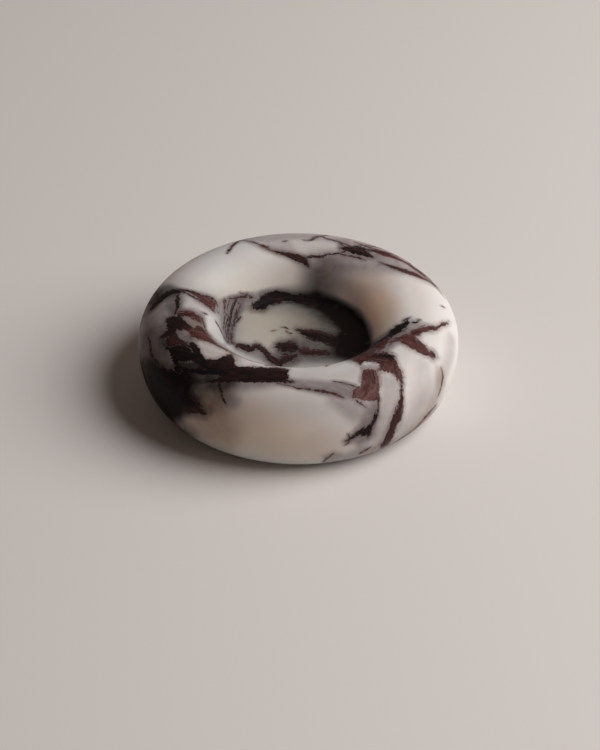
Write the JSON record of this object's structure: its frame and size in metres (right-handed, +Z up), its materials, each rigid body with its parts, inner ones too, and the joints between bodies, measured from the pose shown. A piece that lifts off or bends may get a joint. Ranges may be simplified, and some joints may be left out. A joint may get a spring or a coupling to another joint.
{
  "type": "round marble tray",
  "caption": "Round catch-all tray in solid veined marble: a full, soft ring around a shallow round well, on felt pads, for small things such as keys and rings.",
  "frame": {"origin": "the middle of the footprint, on the surface that the tray stands on", "axes": "+Z up along the axis of the ring and the well; +Y points away from the picture's camera, and +X to its right"},
  "size_m": [0.17, 0.17, 0.05],
  "materials": {
    "marble": "satin",
    "felt": "matte"
  },
  "bodies": {
    "root": {"marble_body": "marble", "felt_pad_1": "felt", "felt_pad_2": "felt", "felt_pad_3": "felt", "felt_pad_4": "felt"}
  },
  "joints": []
}
